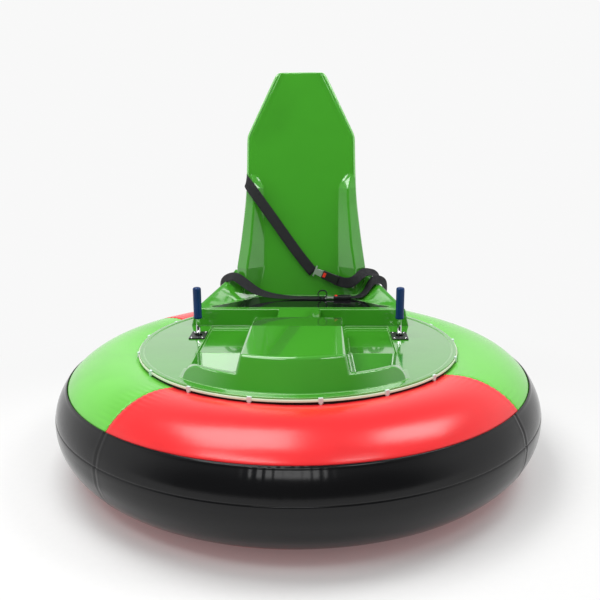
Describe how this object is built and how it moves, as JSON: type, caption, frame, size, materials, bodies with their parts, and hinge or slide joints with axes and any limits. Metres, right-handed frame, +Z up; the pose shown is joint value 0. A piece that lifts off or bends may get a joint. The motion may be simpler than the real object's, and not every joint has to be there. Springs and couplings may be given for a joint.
{
  "type": "inflatable-ring bumper car",
  "caption": "Round electric bumper car with an inflated ring, a green deck with footwells, a high-backed seat, a rider's belt and hand levers.",
  "frame": {"origin": "on the floor, under the middle of the ring", "axes": "+Z up, front of the car towards -Y, +X to the left-hand side of the seated rider"},
  "size_m": [1.9, 1.8996, 1.542],
  "materials": {
    "pvc_green": "glossy welded PVC-coated cloth, bright green",
    "pvc_red": "glossy welded PVC-coated cloth, red",
    "pvc_black": "glossy welded PVC-coated cloth, black",
    "green_gelcoat": "polished gelcoat on glass fibre, bright green",
    "black_gloss": "polished black",
    "black_plastic": "moulded, satin black",
    "foam_rubber": "closed-cell foam, black",
    "light_strip": "milky silicone sleeve over lamps",
    "clip_white": "moulded, white",
    "webbing": "woven polyester webbing, black",
    "bright_steel": "plated, bright",
    "black_plate": "powder coated, satin black",
    "chrome_rod": "polished",
    "grip_blue": "soft moulded sleeve, dark blue",
    "grey_paint": "powder coated, dark grey",
    "battery_case": "moulded case, dark grey",
    "motor_case": "painted, black",
    "cast_hub": "cast, machined face",
    "wheel_rubber": "solid rubber, dark grey",
    "zinc_steel": "zinc plated"
  },
  "bodies": {
    "chassis": {"air_valve": "black_plastic", "battery_left": "battery_case", "battery_right": "battery_case", "belt_buckles": "black_plastic", "belt_lap_left": "webbing", "belt_lap_right": "webbing", "belt_shoulder": "webbing", "belt_shoulder_end": "webbing", "belt_tongues": "bright_steel", "caster_plate_front": "zinc_steel", "caster_plate_rear": "zinc_steel", "chassis_frame": "grey_paint", "controller_box": "black_plastic", "deck_shell": "green_gelcoat", "drive_motor_left": "motor_case", "drive_motor_right": "motor_case", "floor_pan": "grey_paint", "lever_housing_left": "black_plastic", "lever_housing_right": "black_plastic", "lever_plates": "black_plate", "light_strip": "light_strip", "motor_bracket_left": "grey_paint", "motor_bracket_right": "grey_paint", "rim_seal": "foam_rubber", "ring_base": "pvc_red", "ring_side_band": "pvc_black", "ring_top_green": "pvc_green", "ring_top_red": "pvc_red", "seat_back": "green_gelcoat", "seat_base": "green_gelcoat", "seat_lid": "black_gloss", "strip_clips": "clip_white"},
    "lever_left": {"lever_left": "chrome_rod", "grip_left": "grip_blue"},
    "lever_right": {"lever_right": "chrome_rod", "grip_right": "grip_blue"},
    "wheel_left": {"wheel_hub_left": "cast_hub", "tyre_left": "wheel_rubber"},
    "wheel_right": {"wheel_hub_right": "cast_hub", "tyre_right": "wheel_rubber"},
    "caster_front_fork": {"caster_fork_front": "zinc_steel"},
    "caster_front_wheel": {"caster_wheel_front": "wheel_rubber"},
    "caster_rear_fork": {"caster_fork_rear": "zinc_steel"},
    "caster_rear_wheel": {"caster_wheel_rear": "wheel_rubber"}
  },
  "joints": [
    {"name": "lever_tilt_left", "type": "hinge", "parent": "chassis", "child": "lever_left", "pos_m": [-0.418, 0.082, 0.448], "axis": [1, 0, 0], "range_deg": [-20, 20], "stiffness_Nm_per_rad": 3},
    {"name": "wheel_roll_left", "type": "hinge", "parent": "chassis", "child": "wheel_left", "pos_m": [-0.322, 0.04, 0.09], "axis": [1, 0, 0], "continuous": true},
    {"name": "lever_tilt_right", "type": "hinge", "parent": "chassis", "child": "lever_right", "pos_m": [0.418, 0.082, 0.448], "axis": [1, 0, 0], "range_deg": [-20, 20], "stiffness_Nm_per_rad": 3},
    {"name": "wheel_roll_right", "type": "hinge", "parent": "chassis", "child": "wheel_right", "pos_m": [0.322, 0.04, 0.09], "axis": [1, 0, 0], "continuous": true},
    {"name": "caster_swivel_front", "type": "hinge", "parent": "chassis", "child": "caster_front_fork", "pos_m": [0, -0.335, 0.12], "axis": [0, 0, 1], "continuous": true},
    {"name": "caster_roll_front", "type": "hinge", "parent": "caster_front_fork", "child": "caster_front_wheel", "pos_m": [0, -0.303, 0.05], "axis": [1, 0, 0], "continuous": true},
    {"name": "caster_swivel_rear", "type": "hinge", "parent": "chassis", "child": "caster_rear_fork", "pos_m": [0, 0.335, 0.12], "axis": [0, 0, 1], "continuous": true},
    {"name": "caster_roll_rear", "type": "hinge", "parent": "caster_rear_fork", "child": "caster_rear_wheel", "pos_m": [0, 0.367, 0.05], "axis": [1, 0, 0], "continuous": true}
  ]
}
